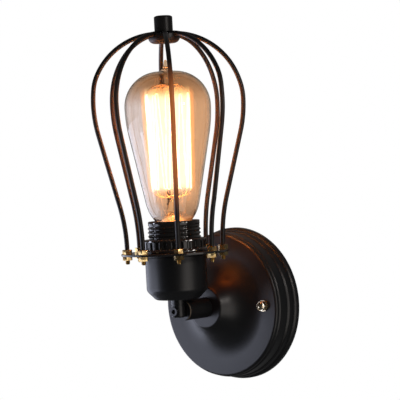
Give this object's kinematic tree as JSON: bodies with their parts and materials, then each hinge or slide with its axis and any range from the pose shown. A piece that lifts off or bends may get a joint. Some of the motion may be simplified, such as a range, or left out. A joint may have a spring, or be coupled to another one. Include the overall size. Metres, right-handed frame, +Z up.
{
  "type": "cage wall light",
  "caption": "Wall light with a stepped round canopy, a short arm with a swivel, a cupped lampholder, a tapered screw-in bulb and a round cage of bent wires.",
  "frame": {"origin": "centre of the mounting bracket's back face, in the wall plane, on the axis of the arm and canopy", "axes": "+Y points out of the bracket's back into the wall, so the room is on the -Y side; +Z is up, along the bulb; +X is to the right seen from the room"},
  "size_m": [0.116, 0.1293, 0.2772],
  "materials": {
    "black_paint": "satin black enamel, faint orange peel",
    "cage_paint": "gloss black enamel on bent wire",
    "brass": "bright turned brass, slightly tarnished",
    "zinc_steel": "zinc plate",
    "bulb_cap_metal": "plated cap, lightly scuffed",
    "phenolic": "moulded black phenolic",
    "porcelain": "glazed white porcelain",
    "black_glass": "fused black glass",
    "amber_glass": "thin blown amber glass",
    "clear_glass": "clear drawn glass",
    "hot_filament": "glowing filament",
    "lead_sleeving": "woven lead sleeving",
    "earth_sleeving": "green and yellow sleeving",
    "fibre": "pressed fibre washer"
  },
  "bodies": {
    "wall_mount": {"mounting_bracket": "zinc_steel", "bracket_studs": "zinc_steel", "earth_screw": "brass", "earth_tag": "zinc_steel", "terminal_block": "porcelain", "terminal_screws": "brass", "canopy": "black_paint", "canopy_cap_nuts": "brass", "arm": "black_paint", "arm_star_washer": "zinc_steel", "arm_locknut": "zinc_steel", "feed_leads": "lead_sleeving", "earth_lead": "earth_sleeving", "pivot_washer": "fibre", "pivot_screw": "black_paint"},
    "lamp_head": {"swivel_block": "black_paint", "lamp_cup": "black_paint", "cup_locknut": "zinc_steel", "head_leads": "lead_sleeving", "holder_base": "phenolic", "holder_insert": "porcelain", "screw_shell": "zinc_steel", "centre_contact": "brass", "holder_sleeve": "phenolic", "cage_plate": "cage_paint", "shade_ring": "phenolic", "cage_wire_1": "cage_paint", "cage_wire_2": "cage_paint", "cage_wire_3": "cage_paint", "cage_wire_4": "cage_paint", "cage_wire_5": "cage_paint", "cage_wire_6": "cage_paint", "cage_wire_7": "cage_paint", "cage_wire_8": "cage_paint", "cage_upper_nuts": "brass", "cage_lower_nuts": "brass", "finial_disc": "cage_paint", "finial_stud": "zinc_steel", "finial_knob": "cage_paint"},
    "bulb_lift": {"bulb_contact": "bulb_cap_metal"},
    "bulb": {"bulb_insulator": "black_glass", "bulb_cap": "bulb_cap_metal", "bulb_glass": "amber_glass", "bulb_stem": "clear_glass", "filament_supports": "zinc_steel", "lead_in_wires": "zinc_steel", "filament": "hot_filament"}
  },
  "joints": [
    {"name": "head_swivel", "type": "hinge", "parent": "wall_mount", "child": "lamp_head", "pos_m": [0, -0.0665, 0], "axis": [0, 1, 0], "range_deg": [-170, 170]},
    {"name": "bulb_rise", "type": "slide", "parent": "lamp_head", "child": "bulb_lift", "axis": [0, 0, 1], "range_m": [0, 0.0109]},
    {"name": "bulb_turn", "type": "hinge", "parent": "bulb_lift", "child": "bulb", "pos_m": [0, -0.0715, 0.0405], "axis": [0, 0, 1], "range_deg": [0, 1080]}
  ],
  "couplings": [
    {"joint": "bulb_rise", "follows": "bulb_turn", "m_per_rad": 0.00057757}
  ]
}
